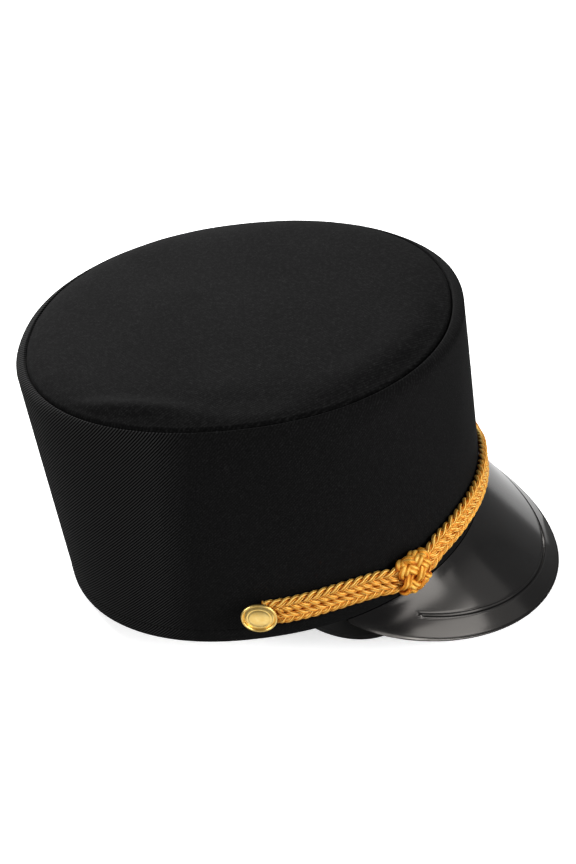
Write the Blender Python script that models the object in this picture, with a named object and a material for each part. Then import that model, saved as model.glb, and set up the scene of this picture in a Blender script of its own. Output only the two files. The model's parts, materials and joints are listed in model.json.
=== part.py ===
"""Conductor cap, at rest on a flat surface.

A black twill cap with a forward-leaning top, a glossy peak, a double gold braid held by two buttons
and gathered by two slide knots, and a sweatband inside the rim.

All lengths are in metres. Every piece is modelled about the cap's own crown axis: +X to the front,
+Y to the wearer's left, +Z up the crown, and the rim in the plane Z = 0. An empty then tips the
whole cap back until it rests on its rear hem and on the lowest edge of its peak.
"""
import math

import bmesh
import bpy
import numpy as np
from mathutils import Matrix, Vector

# Crown
RIM_LENGTH = 0.204          # outer length of the rim, front to back
RIM_WIDTH = 0.176           # outer width of the rim, side to side
TOP_LENGTH = 0.1968         # outer length at the shoulder
TOP_WIDTH = 0.1648          # outer width at the shoulder
TOP_FORWARD = 0.0111        # how far the top's middle stands in front of the rim's middle
FRONT_HEIGHT = 0.0983       # rim to shoulder, in front
REAR_HEIGHT = 0.1166        # rim to shoulder, behind
OUTLINE_POWER = 2.15        # 2 is an ellipse, and more fills out its four corners
WALL = 0.0022               # twill and its stiffening
HEM_HEIGHT = 0.0075         # turned-up hem
SHOULDER_INSET = 0.0049     # the shoulder rounds inward this far, up to the seam
SHOULDER_RISE = 0.0030      # and upward this far
TOP_WALL = 0.002            # top disc
TOP_PUFF = 0.0030           # how far the top disc's middle swells above the seam

# Peak
PEAK_HALF_ANGLE = math.radians(68.8)    # where its corners meet the rim, from the front
PEAK_REACH = 0.0305         # how far it stands out in front of the rim
PEAK_DROP = 0.0567          # how far its front edge lies below the rim
PEAK_DROP_POWER = 0.74      # how fast its edge drops away from the corners
PEAK_EDGE_POWER = 1.94      # its edge seen from above: 2 is half an ellipse, and less is more pointed
PEAK_HOLLOW = 0.0017        # how far it bows inward between the rim and its edge
PEAK_THICKNESS = 0.0018
FLANGE_THICKNESS = 0.0012   # the strip sewn inside the wall
FLANGE_HEIGHT = 0.008

# Sweatband
BAND_THICKNESS = 0.0012
BAND_TOP = 0.030            # its upper edge, above the rim
BAND_TUCK = 0.0015          # its lower edge, above the rim, where it is tucked in
BAND_HANG = 0.0233          # how far it hangs below the rim in front
HANG_START = math.radians(78.5)         # the hanging stretch begins here, from the front
HANG_FULL = math.radians(57.0)          # and hangs at its full depth from here on
HANG_POWER = 0.7            # roundness of the hanging corner

# Double braid
BRAID_WIDTH = 0.0062        # each braid, up and down the wall
BRAID_THICKNESS = 0.0040    # each braid, out from the wall
BRAID_PITCH = 0.0043        # length of one stitch
STITCH_DEPTH = 0.0005       # how far the braid pinches in between two stitches
STITCH_SLANT = 0.0016       # how far a stitch's ends lead its middle
CORD_HEIGHT = 0.0172        # middle of the double braid above the rim, at the buttons

# Slide knots
KNOT_ANGLE = math.radians(49.6)         # from the front, on both sides
KNOT_LENGTH = 0.0158        # along the braid
KNOT_HEIGHT = 0.0206        # up and down the wall
KNOT_PROUD = 0.0088         # out from the wall
KNOT_LIP = 0.0010           # thickness of its two mouths
KNOT_BACK = 0.0008          # the strands that pass behind the braid
KNOT_RIDGE = 0.0005         # depth of the turns on its face
KNOT_TURNS = 3              # turns that show on its face
KNOT_ROUNDNESS = 2.6        # 2 gives it an oval section, and more a squarer one
HOLE_ROUNDNESS = 6.0        # the hole through it keeps to the braids' flat outline

# Buttons
BUTTON_DIAMETER = 0.0159
BUTTON_FORWARD = 0.0038     # middle of the buttons, in front of the rim's middle
BUTTON_THICKNESS = 0.0012
BUTTON_DOME = 0.0007        # how far the face swells inside its raised edge
BUTTON_EDGE = 0.0011        # width of the raised edge
SHANK_DIAMETER = 0.0036
BRAID_UNDER_BUTTON = 0.0032 # thickness of the braids where the button presses on them

GAP = 0.0003                # between pieces that touch on the real cap
HEM_PRESS = 0.0008          # how far the cap's weight flattens the cloth hem where it rests

# Fineness
AROUND = 72                 # segments round the crown, with an edge across the front and the back
SHOULDER_STEPS = 3
PEAK_STATIONS = 32
PEAK_ROWS = 6
PEAK_SWEEP = math.radians(89.2)         # the peak's free edge ends here, just short of a point
KNOT_STATIONS = 10
KNOT_SIDES = 20
BUTTON_SIDES = 24

# The double braid's path round the front: it sags there, pulled thin, below the wearer's left temple
BRAID_ROUTE_COLUMNS = (
    "degrees from the front, right is negative",
    "share of CORD_HEIGHT",
    "share of BRAID_THICKNESS",
)
BRAID_ROUTE = (
    (-96.0, 0.98, 1.00),
    (-80.0, 1.00, 1.00),
    (-68.0, 1.00, 1.00),
    (-60.0, 0.90, 1.00),
    (-55.0, 0.79, 1.00),
    (-50.0, 0.75, 1.00),
    (-45.0, 0.79, 1.00),
    (-39.0, 0.90, 1.00),
    (-33.0, 0.95, 1.00),
    (-26.0, 0.97, 1.00),
    (-18.0, 0.93, 1.00),
    (-9.0, 0.87, 1.00),
    (0.0, 0.78, 0.96),
    (5.0, 0.64, 0.88),
    (10.0, 0.48, 0.80),
    (18.0, 0.40, 0.75),
    (26.0, 0.42, 0.78),
    (34.0, 0.50, 0.88),
    (44.0, 0.63, 1.00),
    (50.0, 0.71, 1.00),
    (56.0, 0.80, 1.00),
    (63.0, 0.94, 1.00),
    (70.0, 1.00, 1.00),
    (80.0, 1.00, 1.00),
    (96.0, 0.98, 1.00),
)

# Rings of the top disc, from its edge to its middle
TOP_RING_COLUMNS = ("share of the disc's size", "share of TOP_PUFF above the seam")
TOP_RINGS = (
    (1.00, -0.15),
    (0.975, 0.35),
    (0.93, 0.62),
    (0.78, 0.83),
    (0.45, 0.97),
)

# Section of one braid: its corners, going round
BRAID_SECTION_COLUMNS = ("share of the thickness, out from the wall", "share of the half width, up the wall")
BRAID_SECTION = (
    (1.00, 0.00),
    (0.86, 0.62),
    (0.42, 1.00),
    (0.00, 0.55),
    (0.00, -0.55),
    (0.42, -1.00),
    (0.86, -0.62),
)

# Piece: base colour, roughness, metallic
FINISHES = {
    "twill": ((0.012, 0.012, 0.013), 0.85, 0.0),
    "peak_vinyl": ((0.010, 0.010, 0.011), 0.18, 0.0),
    "band_leather": ((0.015, 0.014, 0.014), 0.55, 0.0),
    "gold_braid": ((0.72, 0.40, 0.09), 0.50, 0.0),
    "gilt": ((0.85, 0.66, 0.30), 0.22, 1.0),
}


def clear_scene():
    for old in list(bpy.data.objects):
        bpy.data.objects.remove(old, do_unlink=True)


def plan_point(length, width, angle, inset=0.0):
    """Point of a rounded outline, set in from its edge."""
    across, along = math.sin(angle), math.cos(angle)
    x = (0.5 * length - inset) * math.copysign(abs(along) ** (2.0 / OUTLINE_POWER), along)
    y = (0.5 * width - inset) * math.copysign(abs(across) ** (2.0 / OUTLINE_POWER), across)
    return x, y


def shoulder_height(x):
    """The shoulder slopes evenly from the back down to the front."""
    share = (x - TOP_FORWARD) / TOP_LENGTH + 0.5
    return REAR_HEIGHT + (FRONT_HEIGHT - REAR_HEIGHT) * share


def shoulder_point(angle, inset=0.0, rise=0.0, scale=1.0):
    x, y = plan_point(TOP_LENGTH, TOP_WIDTH, angle, inset)
    x = TOP_FORWARD + scale * x
    return Vector((x, scale * y, shoulder_height(x) + rise))


def wall_point(angle, height, inset=0.0):
    """Point of the side wall, which runs straight from the rim to the shoulder."""
    x, y = plan_point(RIM_LENGTH, RIM_WIDTH, angle, inset)
    top = shoulder_point(angle, inset)
    share = max(height, 0.0) / top.z
    return Vector((x + (top.x - x) * share, y + (top.y - y) * share, height))


def wall_outward(angle, height):
    """Level direction out of the wall."""
    step = 1e-3
    along = wall_point(angle + step, height) - wall_point(angle - step, height)
    return Vector((along.y, -along.x, 0.0)).normalized()


def around_angles():
    """Half a step off the axes, so that an edge lies across the front and the back."""
    return [2.0 * math.pi * (k + 0.5) / AROUND for k in range(AROUND)]


def smooth_value(table, x, column=1):
    """Value of one column of a table at x, on a smooth curve through its rows."""
    xs = [row[0] for row in table]
    ys = [row[column] for row in table]
    last = len(table) - 1
    k = max(0, min(last - 1, int(np.searchsorted(xs, x)) - 1))

    def slope(j):
        low, high = max(j - 1, 0), min(j + 1, last)
        return (ys[high] - ys[low]) / (xs[high] - xs[low])

    width = xs[k + 1] - xs[k]
    t = (x - xs[k]) / width
    start, end = slope(k) * width, slope(k + 1) * width
    rise = (2 * t ** 3 - 3 * t ** 2 + 1) * ys[k] + (-2 * t ** 3 + 3 * t ** 2) * ys[k + 1]
    return rise + (t ** 3 - 2 * t ** 2 + t) * start + (t ** 3 - t ** 2) * end


def smooth_step(x):
    x = min(max(x, 0.0), 1.0)
    return x * x * (3.0 - 2.0 * x)


def make_materials():
    materials = {}
    for name, (colour, roughness, metallic) in FINISHES.items():
        material = bpy.data.materials.new(name)
        material.use_nodes = True
        shader = material.node_tree.nodes["Principled BSDF"]
        shader.inputs["Base Color"].default_value = (*colour, 1.0)
        shader.inputs["Roughness"].default_value = roughness
        shader.inputs["Metallic"].default_value = metallic
        materials[name] = material
    return materials


def finish_mesh(name, mesh_builder, sharp_angle=math.radians(40.0)):
    """Turn a bmesh into a mesh with its faces pointing out, shaded smooth apart from sharp edges."""
    bmesh.ops.recalc_face_normals(mesh_builder, faces=mesh_builder.faces)
    mesh = bpy.data.meshes.new(name)
    mesh_builder.to_mesh(mesh)
    mesh_builder.free()
    mesh.shade_smooth()
    mesh.set_sharp_from_angle(angle=sharp_angle)
    return mesh


def skin(name, rings, wrap=False, start_pole=None, end_pole=None, cap_ends=False):
    """Cover a row of closed rings that have the same number of points.

    wrap joins the last ring to the first, a pole closes an end to one point, and cap_ends closes
    both ends with a flat face.
    """
    builder = bmesh.new()
    rows = [[builder.verts.new(point) for point in ring] for ring in rings]
    count = len(rows[0])
    pairs = list(zip(rows, rows[1:]))
    if wrap:
        pairs.append((rows[-1], rows[0]))
    for lower, upper in pairs:
        for k in range(count):
            n = (k + 1) % count
            builder.faces.new((lower[k], lower[n], upper[n], upper[k]))
    for pole, row in ((start_pole, rows[0]), (end_pole, rows[-1])):
        if pole is not None:
            tip = builder.verts.new(pole)
            for k in range(count):
                builder.faces.new((row[k], row[(k + 1) % count], tip))
    if cap_ends:
        builder.faces.new(rows[0])
        builder.faces.new(rows[-1])
    return finish_mesh(name, builder)


def crown_side_rings():
    """Outer rings from the rim up to the seam, then inner rings back down."""
    angles = around_angles()
    rings = []
    for inset, shares in ((0.0, (0.4, 0.7, 1.0)), (WALL, (1.0, 0.5))):
        level = [[wall_point(a, shoulder_point(a, inset).z * s, inset) for a in angles] for s in shares]
        turn = [math.radians(90.0) * (k + 1) / SHOULDER_STEPS for k in range(SHOULDER_STEPS)]
        arch = []
        for t in turn:
            reach = inset + (SHOULDER_INSET - inset) * (1.0 - math.cos(t))
            rise = (SHOULDER_RISE - inset) * math.sin(t)
            arch.append([shoulder_point(a, reach, rise) for a in angles])
        foot = [[wall_point(a, 0.0, inset) for a in angles], [wall_point(a, HEM_HEIGHT, inset) for a in angles]]
        if inset == 0.0:
            rings += foot + level + arch
        else:
            rings += arch[::-1] + level + foot[::-1]
    return rings


def crown_top_mesh():
    angles = around_angles()
    inset = SHOULDER_INSET + GAP

    def ring(share, rise):
        return [shoulder_point(a, inset, SHOULDER_RISE + rise, share) for a in angles]

    upper = [ring(share, puff * TOP_PUFF) for share, puff in TOP_RINGS]
    under = [ring(share, puff * TOP_PUFF - TOP_WALL) for share, puff in TOP_RINGS]
    middle = shoulder_point(0.0, 0.0, SHOULDER_RISE + TOP_PUFF, 0.0)
    lower_middle = middle - Vector((0.0, 0.0, TOP_WALL))
    return skin("crown_top", under[::-1] + upper, start_pole=lower_middle, end_pole=middle)


def peak_free_edge(turn):
    """Free edge of the peak: about half an ellipse seen from above, dropping away from its corners."""
    corner_x, half_width = plan_point(RIM_LENGTH, RIM_WIDTH, PEAK_HALF_ANGLE)
    front_x = 0.5 * RIM_LENGTH + PEAK_REACH
    side = math.sin(turn)
    forward = (1.0 - abs(side) ** PEAK_EDGE_POWER) ** (1.0 / PEAK_EDGE_POWER)
    x = corner_x + (front_x - corner_x) * forward
    return Vector((x, half_width * side, -GAP - PEAK_DROP * forward ** PEAK_DROP_POWER))


def rim_angle_at(y):
    """Angle at which the rim's outline reaches this far to the side."""
    share = min(abs(y) / (0.5 * RIM_WIDTH), 1.0)
    return math.copysign(math.asin(share ** (0.5 * OUTLINE_POWER)), y)


def peak_sections():
    """Upper and lower line of the peak at each station, both from the flange's top to the free edge."""
    stations = [PEAK_SWEEP * (2.0 * k / (PEAK_STATIONS - 1) - 1.0) for k in range(PEAK_STATIONS)]
    edges = [peak_free_edge(turn) for turn in stations]
    angles = [rim_angle_at(edge.y) for edge in edges]
    roots = [wall_point(a, -GAP) for a in angles]
    rows = np.linspace(0.0, 1.0, PEAK_ROWS + 1)
    flat = np.array([[root.lerp(edge, row) for row in rows] for root, edge in zip(roots, edges)])
    outward = np.cross(np.gradient(flat, axis=1), np.gradient(flat, axis=0))
    outward /= np.linalg.norm(outward, axis=2)[..., None]
    reach = np.linalg.norm(flat[:, -1] - flat[:, 0], axis=1)
    hollow = PEAK_HOLLOW * np.outer((reach / reach.max()) ** 0.5, 4.0 * rows * (1.0 - rows))
    face = flat - hollow[..., None] * outward
    under = face - PEAK_THICKNESS * outward
    sections = []
    for k, angle in enumerate(angles):
        inner = WALL + GAP
        upper = [wall_point(angle, FLANGE_HEIGHT, inner), wall_point(angle, -GAP, inner)]
        upper += [Vector(point) for point in face[k]]
        lower = [wall_point(angle, FLANGE_HEIGHT, inner + FLANGE_THICKNESS)]
        lower.append(wall_point(angle, -GAP - PEAK_THICKNESS, inner + FLANGE_THICKNESS))
        lower.append(wall_point(angle, -GAP - PEAK_THICKNESS, PEAK_THICKNESS))
        lower += [Vector(point) for point in under[k][1:]]
        for above, below in zip(lower[1:], lower[2:]):
            below.z = min(below.z, above.z)
        sections.append((upper, lower))
    return sections


def peak_mesh(sections):
    builder = bmesh.new()
    rows = [[[builder.verts.new(p) for p in line] for line in section] for section in sections]
    count = len(rows[0][0])
    for (upper, lower), (next_upper, next_lower) in zip(rows, rows[1:]):
        for k in range(count - 1):
            builder.faces.new((upper[k], upper[k + 1], next_upper[k + 1], next_upper[k]))
            builder.faces.new((lower[k], next_lower[k], next_lower[k + 1], lower[k + 1]))
        builder.faces.new((upper[0], next_upper[0], next_lower[0], lower[0]))
        builder.faces.new((upper[-1], lower[-1], next_lower[-1], next_upper[-1]))
    for upper, lower in (rows[0], rows[-1]):
        for k in range(count - 1):
            builder.faces.new((upper[k], upper[k + 1], lower[k + 1], lower[k]))
    return finish_mesh("peak", builder)


def band_lower_edge(angle):
    """The sweatband is tucked in behind and at the sides, and hangs below the rim in front."""
    from_front = abs(math.remainder(angle, 2.0 * math.pi))
    share = min(max((HANG_START - from_front) / (HANG_START - HANG_FULL), 0.0), 1.0)
    hang = math.sin(0.5 * math.pi * share) ** HANG_POWER
    return BAND_TUCK - (BAND_TUCK + BAND_HANG) * hang


def sweatband_mesh():
    angles = around_angles()
    outer = WALL + GAP + FLANGE_THICKNESS + GAP
    inner = outer + BAND_THICKNESS
    shares = (0.0, 0.5, 1.0)

    def ring(inset, share):
        return [wall_point(a, band_lower_edge(a) * (1.0 - share) + BAND_TOP * share, inset) for a in angles]

    rings = [ring(outer, s) for s in shares] + [ring(inner, s) for s in reversed(shares)]
    return skin("sweatband", rings, wrap=True)


class BraidRoute:
    """The path of the double braid along the wall, measured by its length from the front."""

    def __init__(self):
        limit = math.radians(BRAID_ROUTE[-1][0])
        self.angles = np.linspace(-limit, limit, 400)
        points = np.array([wall_point(a, self.height(a)) for a in self.angles])
        steps = np.linalg.norm(np.diff(points, axis=0), axis=1)
        lengths = np.concatenate([[0.0], np.cumsum(steps)])
        self.lengths = lengths - np.interp(0.0, self.angles, lengths)
        button_angle = math.acos((BUTTON_FORWARD / (0.5 * RIM_LENGTH)) ** (0.5 * OUTLINE_POWER))
        self.button = self.distance(button_angle)
        self.knot = self.distance(KNOT_ANGLE)

    def height(self, angle):
        return CORD_HEIGHT * smooth_value(BRAID_ROUTE, math.degrees(angle))

    def distance(self, angle):
        return float(np.interp(angle, self.angles, self.lengths))

    def angle(self, distance):
        return float(np.interp(distance, self.lengths, self.angles))

    def point(self, distance, out, up):
        """Point this far along the route, out from the wall and up from the route's height."""
        angle = self.angle(distance)
        height = self.height(angle) + up
        return wall_point(angle, height) + out * wall_outward(angle, height)

    def lift(self, distance):
        """How far the braids' back stands off the wall: more where the knots pass behind them."""
        beyond = abs(abs(distance) - self.knot) - 0.5 * KNOT_LENGTH
        return GAP + (KNOT_BACK + GAP) * (1.0 - smooth_step(beyond / (0.5 * KNOT_LENGTH) - 0.1))

    def thickness(self, distance):
        """The braids are pulled thinner in front, and the buttons press them flatter."""
        free = BRAID_THICKNESS * smooth_value(BRAID_ROUTE, math.degrees(self.angle(distance)), 2)
        edge = 0.5 * BUTTON_DIAMETER
        share = smooth_step((self.button - abs(distance) - edge) / (0.15 * edge))
        return BRAID_UNDER_BUTTON + (free - BRAID_UNDER_BUTTON) * share


def braid_mesh(name, route, side):
    """One braid, a flat band with slanting stitches. side is +1 for the upper and -1 for the lower."""
    end = route.button - 0.5 * SHANK_DIAMETER - GAP
    count = 2 * round(end / BRAID_PITCH) * 2
    middle = side * 0.5 * (BRAID_WIDTH + GAP)
    rings = []
    for k in range(count + 1):
        distance = end * (2.0 * k / count - 1.0)
        pinch = STITCH_DEPTH * (k % 2)
        slant = side * STITCH_SLANT * smooth_step((end - abs(distance)) / BRAID_PITCH)
        ring = []
        for out, up in BRAID_SECTION:
            at = distance + slant * (abs(up) - 0.5)
            depth = out * (route.thickness(at) - pinch)
            ring.append(route.point(at, route.lift(at) + depth, middle + up * (0.5 * BRAID_WIDTH - pinch)))
        rings.append(ring)
    return skin(name, rings, cap_ends=True)


def knot_mesh(name, route, side):
    """A slide knot: a barrel of wrapped strands that both braids run through."""
    hole_half = BRAID_WIDTH + 1.5 * GAP
    hole_back = GAP + KNOT_BACK
    hole_front = hole_back + BRAID_THICKNESS + 2.0 * GAP

    def ring(distance, half, back, front, power, ridge):
        points = []
        for k in range(KNOT_SIDES):
            turn = 2.0 * math.pi * (k + 0.5) / KNOT_SIDES
            facing = max(math.cos(turn), 0.0)
            wave = math.cos(2.0 * math.pi * KNOT_TURNS * (distance - side * route.knot) / KNOT_LENGTH + 2.0 * turn)
            swell = 1.0 - ridge * facing * (0.5 - 0.5 * wave)
            out = 0.5 * (front + back) + 0.5 * (front - back) * rounded(math.cos(turn), power) * swell
            up = half * rounded(math.sin(turn), power)
            points.append(route.point(distance, out, up))
        return points

    outer, inner = [], []
    for k in range(KNOT_STATIONS + 1):
        share = 2.0 * k / KNOT_STATIONS - 1.0
        distance = side * route.knot + 0.5 * KNOT_LENGTH * share
        swell = 1.0 - abs(share) ** 2.5
        lip_half, lip_front = hole_half + KNOT_LIP, hole_front + KNOT_LIP
        half = lip_half + (0.5 * KNOT_HEIGHT - lip_half) * swell
        front = lip_front + (KNOT_PROUD - lip_front) * swell
        ridge = KNOT_RIDGE / (0.5 * KNOT_PROUD)
        outer.append(ring(distance, half, GAP, front, KNOT_ROUNDNESS, ridge))
        inner.append(ring(distance, hole_half, hole_back, hole_front, HOLE_ROUNDNESS, 0.0))
    return skin(name, outer + inner[::-1], wrap=True)


def rounded(value, power):
    """Cosine or sine of a rounded rectangle."""
    return math.copysign(abs(value) ** (2.0 / power), value)


def button_mesh():
    """Turned about +Z, with the wall at Z = 0: a shank, a flat back, a raised edge and a domed face."""
    radius, shank = 0.5 * BUTTON_DIAMETER, 0.5 * SHANK_DIAMETER
    back = GAP + BRAID_UNDER_BUTTON + GAP
    face = back + BUTTON_THICKNESS
    profile = (
        (0.0, GAP),
        (shank, GAP),
        (shank, back),
        (radius - 0.5 * BUTTON_THICKNESS, back),
        (radius, back + 0.5 * BUTTON_THICKNESS),
        (radius - 0.35 * BUTTON_EDGE, face + 0.2 * BUTTON_DOME),
        (radius - BUTTON_EDGE, face),
        (0.5 * (radius - BUTTON_EDGE), face + 0.75 * BUTTON_DOME),
        (0.0, face + BUTTON_DOME),
    )
    builder = bmesh.new()
    line = [builder.verts.new((r, 0.0, z)) for r, z in profile]
    edges = [builder.edges.new(pair) for pair in zip(line, line[1:])]
    bmesh.ops.spin(builder, geom=line + edges, cent=(0, 0, 0), axis=(0, 0, 1), angle=2.0 * math.pi,
                   steps=BUTTON_SIDES, use_merge=True)
    bmesh.ops.remove_doubles(builder, verts=builder.verts, dist=1e-6)
    return finish_mesh("button", builder)


def button_place(route, side):
    """Where a button sits on the wall, its axis straight out."""
    angle = route.angle(side * route.button)
    height = route.height(angle)
    outward = wall_outward(angle, height)
    upward = (wall_point(angle, height + WALL) - wall_point(angle, height)).normalized()
    across = upward.cross(outward).normalized()
    outward = across.cross(upward)
    turn = Matrix((across, upward, outward)).transposed().to_4x4()
    return Matrix.Translation(wall_point(angle, height)) @ turn


def height_at_tilt(point, tilt):
    return point.x * math.sin(tilt) + point.z * math.cos(tilt)


def rest_tilt(rim, peak_points):
    """Tilt at which the pressed rear hem and the peak's lowest edge touch one level surface."""
    low, high = 0.0, math.radians(60.0)
    for _ in range(50):
        tilt = 0.5 * (low + high)
        hem = min(height_at_tilt(p, tilt) for p in rim) + HEM_PRESS
        edge = min(height_at_tilt(p, tilt) for p in peak_points)
        if edge < hem:
            low = tilt
        else:
            high = tilt
    return tilt


def press_flat(rings, tilt, floor):
    """Flatten the cloth that would lie below the surface the cap rests on."""
    up = Vector((math.sin(tilt), 0.0, math.cos(tilt)))
    for ring in rings:
        for point in ring:
            point += up * max(floor - height_at_tilt(point, tilt), 0.0)


def add_piece(name, mesh, material, parent, place=None):
    piece = bpy.data.objects.new(name, mesh)
    if not mesh.materials:
        mesh.materials.append(material)
    piece.parent = parent
    if place is not None:
        piece.matrix_local = place
    bpy.context.scene.collection.objects.link(piece)
    return piece


def set_down(stand, pieces):
    """Move the stand so that the middle of the cap's base is the origin."""
    bpy.context.view_layer.update()
    corners = np.array([piece.matrix_world @ v.co for piece in pieces for v in piece.data.vertices])
    low, high = corners.min(axis=0), corners.max(axis=0)
    stand.location = (-0.5 * (low[0] + high[0]), -0.5 * (low[1] + high[1]), -low[2])
    bpy.context.view_layer.update()


def build_cap():
    clear_scene()
    materials = make_materials()
    side_rings = crown_side_rings()
    sections = peak_sections()
    rim = side_rings[0]
    tilt = rest_tilt(rim, [p for upper, lower in sections for p in upper + lower])
    floor = min(height_at_tilt(p, tilt) for p in rim) + HEM_PRESS
    press_flat(side_rings, tilt, floor)

    stand = bpy.data.objects.new("cap_at_rest", None)
    bpy.context.scene.collection.objects.link(stand)
    stand.rotation_euler = (0.0, -tilt, 0.0)

    route = BraidRoute()
    pieces = [
        add_piece("crown_side", skin("crown_side", side_rings, wrap=True), materials["twill"], stand),
        add_piece("crown_top", crown_top_mesh(), materials["twill"], stand),
        add_piece("peak", peak_mesh(sections), materials["peak_vinyl"], stand),
        add_piece("sweatband", sweatband_mesh(), materials["band_leather"], stand),
    ]
    for name, side in (("cord_upper", 1), ("cord_lower", -1)):
        pieces.append(add_piece(name, braid_mesh(name, route, side), materials["gold_braid"], stand))
    button = button_mesh()
    for word, side in (("right", -1), ("left", 1)):
        knot = knot_mesh("knot_" + word, route, side)
        pieces.append(add_piece("knot_" + word, knot, materials["gold_braid"], stand))
        pieces.append(add_piece("button_" + word, button, materials["gilt"], stand, button_place(route, side)))
    set_down(stand, pieces)


build_cap()
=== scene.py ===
import json
import math

import bmesh
import bpy
import numpy as np
from mathutils import Matrix, Vector

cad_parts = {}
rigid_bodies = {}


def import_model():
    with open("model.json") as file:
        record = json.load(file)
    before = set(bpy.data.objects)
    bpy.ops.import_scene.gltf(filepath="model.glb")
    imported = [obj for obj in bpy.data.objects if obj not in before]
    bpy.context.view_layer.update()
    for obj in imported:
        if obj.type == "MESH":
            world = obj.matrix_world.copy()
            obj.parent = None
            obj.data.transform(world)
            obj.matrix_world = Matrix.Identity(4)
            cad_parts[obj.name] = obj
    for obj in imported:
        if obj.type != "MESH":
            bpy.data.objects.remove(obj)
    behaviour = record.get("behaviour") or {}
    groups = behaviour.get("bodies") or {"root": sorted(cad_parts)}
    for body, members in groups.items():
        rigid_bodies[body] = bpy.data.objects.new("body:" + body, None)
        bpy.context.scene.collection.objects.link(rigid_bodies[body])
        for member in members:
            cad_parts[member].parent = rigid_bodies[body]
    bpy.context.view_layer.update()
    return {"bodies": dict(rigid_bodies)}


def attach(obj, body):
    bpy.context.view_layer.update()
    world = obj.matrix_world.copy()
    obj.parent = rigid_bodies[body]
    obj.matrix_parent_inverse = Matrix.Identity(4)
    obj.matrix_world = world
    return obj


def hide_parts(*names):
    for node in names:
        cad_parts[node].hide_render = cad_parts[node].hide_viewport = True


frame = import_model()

BODY = list(frame["bodies"])[0]

# How the cap lies
TILT = math.radians(14.138276)
STAND = (-0.0146016, 0.0, 0.0240928)

# Crown
RIM_LENGTH = 0.204
RIM_WIDTH = 0.176
TOP_LENGTH = 0.1968
TOP_WIDTH = 0.1648
TOP_FORWARD = 0.0111
FRONT_HEIGHT = 0.0983
REAR_HEIGHT = 0.1166
OUTLINE_POWER = 2.15
WALL = 0.0022
GAP = 0.0003                # between pieces that touch

# The crown's shoulder, where the wall rounds over to the seam
SHOULDER_INSET = 0.0049     # in front and behind: how far in and how far up the seam lies
SHOULDER_RISE = 0.0030
SIDE_INSET = 0.0037         # the same along both sides of the cap
SIDE_RISE = 0.0040
SIDE_LEAN = 0.0160          # there the wall begins to lean in this far below the shoulder
SHOULDER_END = math.radians(72.0)   # the rounding stops short of level, so that the seam is a crease

# The cloth of the side
HEM_HEIGHT = 0.0075
HEM_SWELL = 0.00018
STITCH_SPACING = 0.0032     # along the hem, from one stitch to the next
STITCH_LENGTH = 0.0023
STITCH_RADIUS = 0.00016
STITCH_SUNK = 0.00030
CALM_EDGE = 0.02            # the slight waves die out this near the rim and the shoulder

# The top disc
TOP_WALL = 0.002
TOP_PUFF = 0.0040
TOP_CLOTH_TURN = math.radians(38.0)
TOP_EDGE_UNDER = 0.99       # underneath, the disc doesn't turn down beyond this share of its size
SEAM_ALLOWANCE = ((0.0017, 0.0008), (0.0002, 0.0004))   # how far out, and how far below the wall

# A low fold in the top disc, near its edge on the right and towards the back, seen from above
FOLD_MIDDLE = (-0.0240, -0.0634)
FOLD_TURN = math.radians(-11.6)
FOLD_HEIGHT = 0.0019
FOLD_HALF_WIDTH = 0.0042
FOLD_HALF_LENGTH = 0.0240
FOLD_CLEAR = 0.006          # it fades this near the seam

# Peak
PEAK_HALF_ANGLE = math.radians(68.8)
PEAK_REACH = 0.0305
PEAK_DROP = 0.0567
PEAK_DROP_POWER = 0.74
PEAK_EDGE_POWER = 1.94
PEAK_HOLLOW = 0.0017
HOLLOW_FULL = 0.024         # nearer its corners than this width, the peak is flatter
PEAK_THICKNESS = 0.0018
PEAK_SWEEP = math.radians(89.2)
PEAK_STATIONS = 420
FLANGE_THICKNESS = 0.0012
FLANGE_HEIGHT = 0.008
GROOVE_IN = 0.0118          # the pressed groove's middle, in from the free edge
GROOVE_HALF = 0.0008
GROOVE_DEPTH = 0.0007
GROOVE_END = math.radians(61.5)
EDGE_ROUNDING = 0.0007
RELIEF_FROM = 0.003         # groove and line fade out where the peak is this narrow, near its corners
RELIEF_OVER = 0.012

# Sweatband
BAND_THICKNESS = 0.0012
BAND_TOP = 0.030
BAND_TUCK = 0.0015
BAND_HANG = 0.0233
HANG_START = math.radians(78.5)
HANG_FULL = math.radians(57.0)
HANG_POWER = 0.7
BAND_FACE_UP = 0.004        # plain face from this far above the lower edge to this far below the upper one
BAND_FACE_DOWN = 0.003

# Double braid
BRAID_WIDTH = 0.0062
BRAID_THICKNESS = 0.0040
CORD_HEIGHT = 0.0172
BRAID_STRANDS = 5
STITCH_PITCH = 0.0039       # along the braid, from one stitch to the next
STRAND_WIDTH = 0.0019
STRAND_THICKNESS = 0.0019
STRAND_SECTION = (STRAND_WIDTH, STRAND_THICKNESS, 4)
STRAND_LEAN = 0.5           # radians by which a strand turns on its way across
STRAND_BULGE = 0.00045      # how far the strands bulge past the braid's width where they turn back
BRAID_STEP = 0.0003         # spacing of the sections along each strand

# Slide knots
KNOT_ANGLE = math.radians(49.6)
KNOT_LENGTH = 0.0158
KNOT_HEIGHT = 0.0206
KNOT_PROUD = 0.0088
KNOT_BACK = 0.0008
KNOT_ROUNDNESS = 2.6
KNOT_LEADS = 5              # passes side by side
KNOT_BIGHTS = 7             # loops along each of its edges
KNOT_STEPS = 1400
KNOT_CORD = 0.0021          # thickness of its doubled cord
KNOT_SECTION = (2.0 * KNOT_CORD, 0.92 * KNOT_CORD, 6)
KNOT_WEAVE = 0.42 * KNOT_CORD       # how far a pass rises and sinks as it crosses the others
KNOT_INSET = 0.9 * KNOT_CORD        # from the knot's outline in to the middle of its cord
KNOT_TAPER = 0.20           # its ends are smaller by this share
KNOT_SHARPNESS = 0.93
KNOT_PRESSED = 0.65         # share by which the cord is thinner behind, against the wall
KNOT_CALM = 0.8             # share by which it weaves less there

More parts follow.
